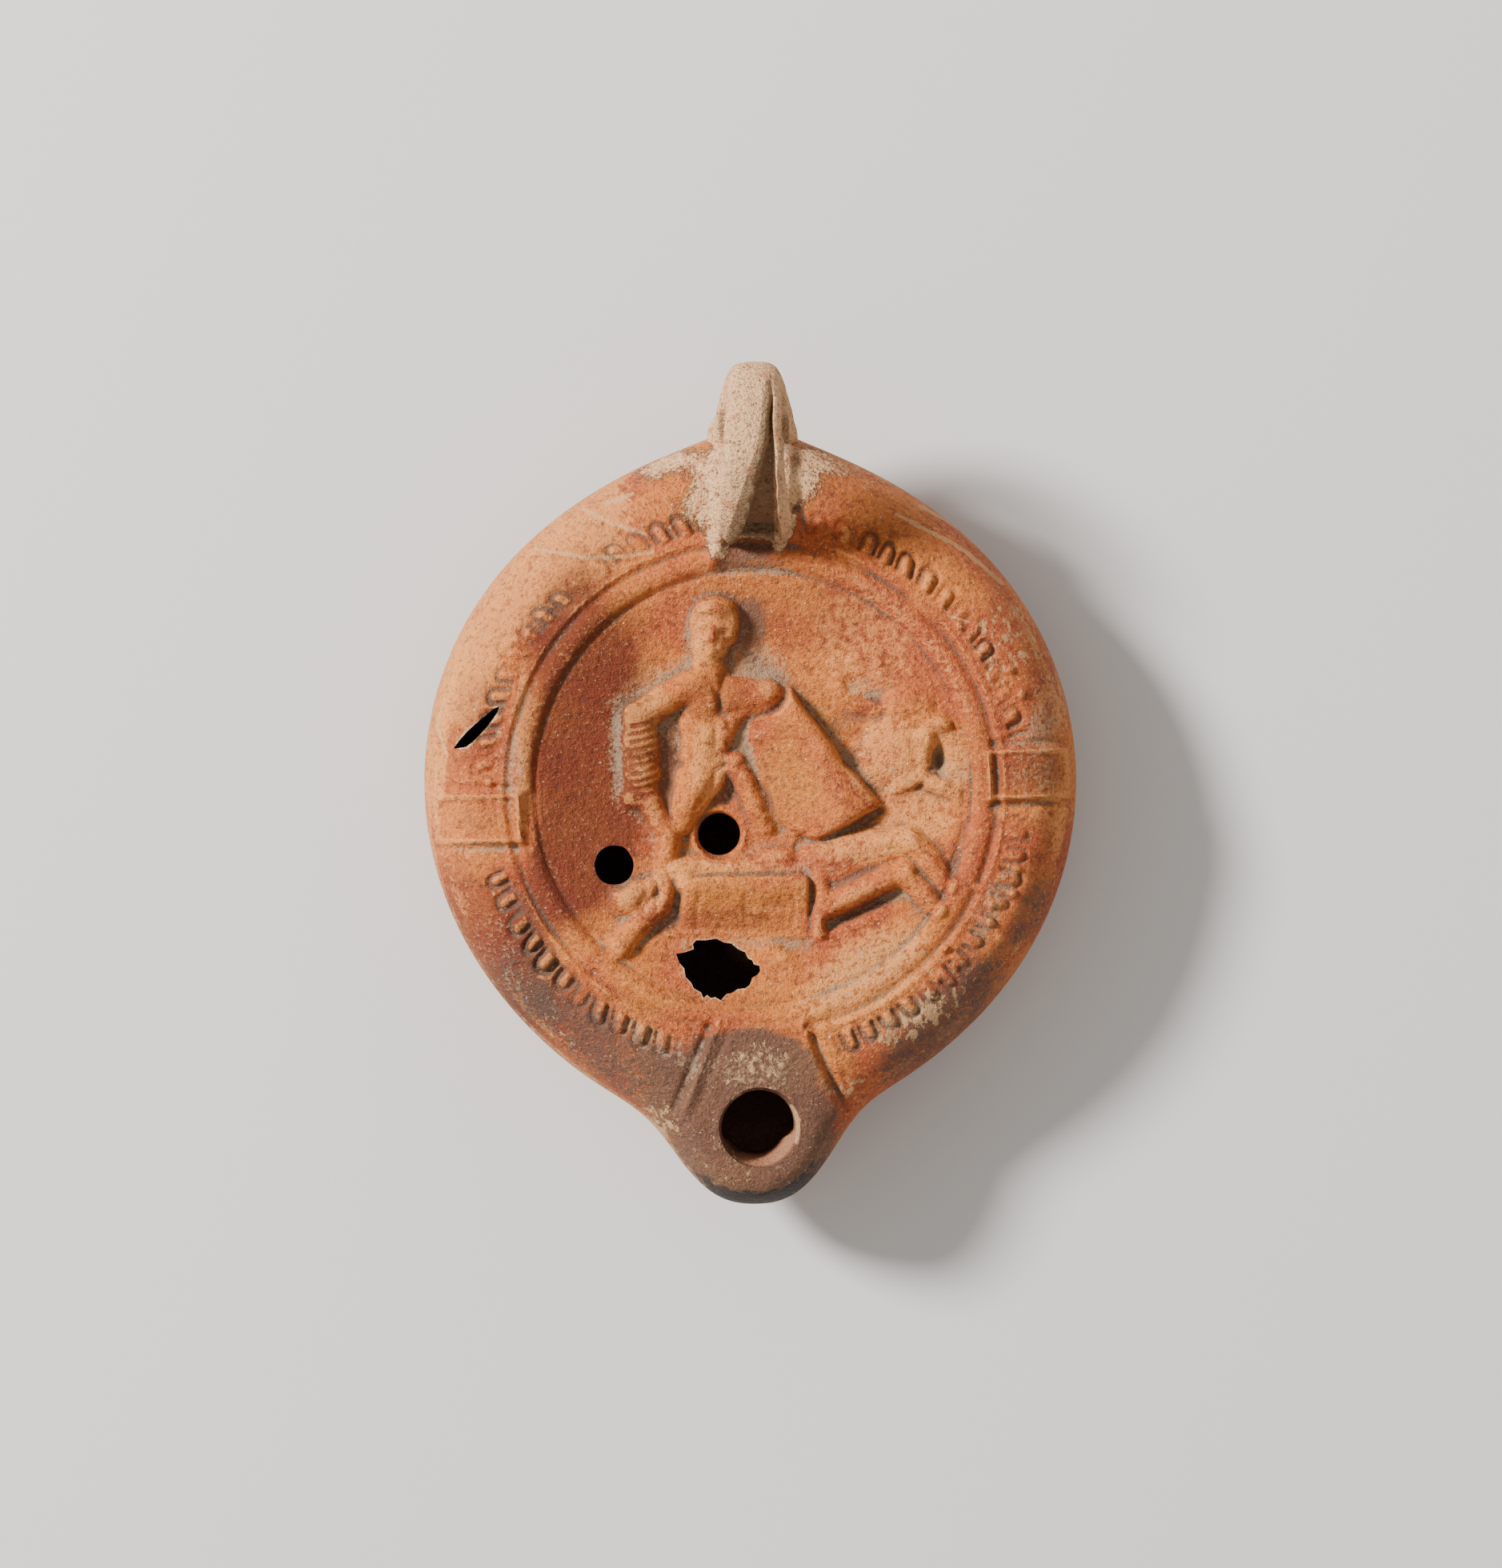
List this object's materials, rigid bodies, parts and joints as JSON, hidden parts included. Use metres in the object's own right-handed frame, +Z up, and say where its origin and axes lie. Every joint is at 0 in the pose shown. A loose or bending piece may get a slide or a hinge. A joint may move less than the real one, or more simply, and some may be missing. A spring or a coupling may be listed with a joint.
{
  "type": "clay oil lamp",
  "caption": "Round mould-made clay oil lamp with a sunk picture disc showing a fight, a short rounded nozzle and a pierced ring handle.",
  "frame": {"origin": "on the flat underside, straight below the middle of the picture disc", "axes": "+Z up, +Y from the nozzle to the handle, +X to the right when the lamp is seen from above with its handle away from the viewer"},
  "size_m": [0.0946, 0.1223, 0.0459],
  "materials": {
    "fired_clay": "unglazed fired clay with a thin worn red slip, dull and slightly rough"
  },
  "bodies": {
    "root": {"oil_lamp": "fired_clay"}
  },
  "joints": []
}
